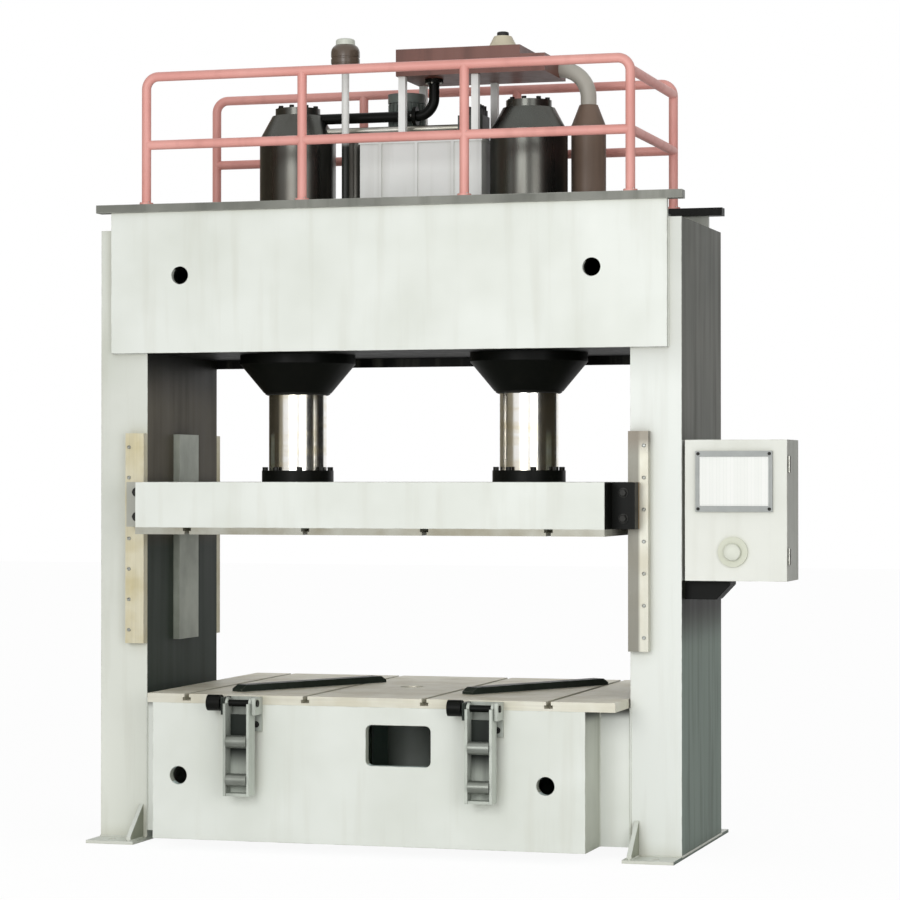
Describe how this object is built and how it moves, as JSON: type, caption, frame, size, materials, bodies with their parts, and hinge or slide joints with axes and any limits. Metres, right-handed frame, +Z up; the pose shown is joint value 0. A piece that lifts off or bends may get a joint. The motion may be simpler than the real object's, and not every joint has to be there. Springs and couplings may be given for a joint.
{
  "type": "hydraulic press",
  "caption": "Frame hydraulic press with welded uprights, crown and bed, a guided slide on rams, a slotted table, folding die arms and a railed service deck.",
  "frame": {"origin": "on the floor, in the middle of the four anchor holes, midway between the uprights", "axes": "+X to the right seen from the front, +Y to the rear, +Z up"},
  "size_m": [3.1566, 1.53, 3.653],
  "materials": {
    "light_paint": "satin light grey paint",
    "dark_paint": "dark grey green paint",
    "black_paint": "black paint",
    "red_paint": "faded red paint",
    "brown_paint": "dark brown paint",
    "tank_paint": "pale grey paint",
    "machined_steel": "oiled machined steel",
    "guide_steel": "oiled guide steel",
    "ram_chrome": "hard chrome",
    "bronze": "bearing bronze",
    "cast_metal": "dark cast metal",
    "filter_paint": "brown grey paint",
    "box_paint": "textured pale grey paint",
    "display_grey": "grey plastic",
    "display_glass": "display glass",
    "beige_plastic": "beige plastic",
    "lamp_dark": "dark lamp housing"
  },
  "bodies": {
    "frame": {"left_upright": "light_paint", "right_upright": "light_paint", "sole_plates": "dark_paint", "foot_gussets": "dark_paint", "crown": "dark_paint", "crown_covers": "light_paint", "deck_plate": "dark_paint", "deck_edges": "black_paint", "bed": "light_paint", "worktable": "machined_steel", "table_bars": "machined_steel", "die_rails": "black_paint", "arm_brackets": "dark_paint", "arm_pins": "black_paint", "face_guides": "guide_steel", "side_guides": "machined_steel", "cylinders": "black_paint", "ring_nuts": "black_paint", "glands": "black_paint", "gland_bushes": "bronze", "filling_valves": "cast_metal", "left_suction_pipe": "black_paint", "right_suction_pipe": "tank_paint", "filter_housings": "filter_paint", "fill_tank": "brown_paint", "tank_legs": "tank_paint", "breather": "beige_plastic", "oil_tank": "tank_paint", "pump_motor": "dark_paint", "valve_block": "black_paint", "solenoids": "black_paint", "pressure_pipe": "machined_steel", "lamp_pole": "tank_paint", "lamp": "lamp_dark", "railing_posts": "red_paint", "top_rails": "red_paint", "mid_rails": "red_paint", "side_rails": "red_paint", "control_box": "box_paint", "door_hinges": "machined_steel", "ejector_cylinder": "cast_metal"},
    "slide": {"slide": "light_paint", "slide_bars": "machined_steel", "guide_shoes": "black_paint", "guide_liners": "bronze", "rams": "ram_chrome", "ram_flanges": "black_paint", "flange_bolts": "black_paint"},
    "left_arm": {"left_arm": "dark_paint"},
    "right_arm": {"right_arm": "dark_paint"},
    "left_roller_a": {"left_roller_a": "machined_steel"},
    "left_roller_b": {"left_roller_b": "machined_steel"},
    "right_roller_a": {"right_roller_a": "machined_steel"},
    "right_roller_b": {"right_roller_b": "machined_steel"},
    "control_door": {"control_door": "box_paint", "display_frame": "display_grey", "display": "display_glass", "stop_plate": "beige_plastic"},
    "stop_button": {"stop_button": "beige_plastic"},
    "ejector": {"ejector_rod": "ram_chrome"}
  },
  "joints": [
    {"name": "slide_travel", "type": "slide", "parent": "frame", "child": "slide", "axis": [0, 0, 1], "range_m": [-0.485, 0.215]},
    {"name": "left_arm_fold", "type": "hinge", "parent": "frame", "child": "left_arm", "pos_m": [-0.545, -0.77, 0.655], "axis": [-1, 0, 0], "range_deg": [0, 90]},
    {"name": "right_arm_fold", "type": "hinge", "parent": "frame", "child": "right_arm", "pos_m": [0.545, -0.77, 0.655], "axis": [-1, 0, 0], "range_deg": [0, 90]},
    {"name": "left_roller_a_spin", "type": "hinge", "parent": "left_arm", "child": "left_roller_a", "pos_m": [-0.545, -0.802, 0.49], "axis": [1, 0, 0], "continuous": true},
    {"name": "left_roller_b_spin", "type": "hinge", "parent": "left_arm", "child": "left_roller_b", "pos_m": [-0.545, -0.802, 0.325], "axis": [1, 0, 0], "continuous": true},
    {"name": "right_roller_a_spin", "type": "hinge", "parent": "right_arm", "child": "right_roller_a", "pos_m": [0.545, -0.802, 0.49], "axis": [1, 0, 0], "continuous": true},
    {"name": "right_roller_b_spin", "type": "hinge", "parent": "right_arm", "child": "right_roller_b", "pos_m": [0.545, -0.802, 0.325], "axis": [1, 0, 0], "continuous": true},
    {"name": "door_swing", "type": "hinge", "parent": "frame", "child": "control_door", "pos_m": [1.8006, -0.418, 1.492], "axis": [0, 0, 1], "range_deg": [0, 110]},
    {"name": "stop_push", "type": "slide", "parent": "control_door", "child": "stop_button", "axis": [0, 1, 0], "range_m": [0, 0.005], "stiffness_N_per_m": 1500, "springref_m": -0.003},
    {"name": "ejector_lift", "type": "slide", "parent": "frame", "child": "ejector", "axis": [0, 0, 1], "range_m": [0, 0.2]}
  ]
}
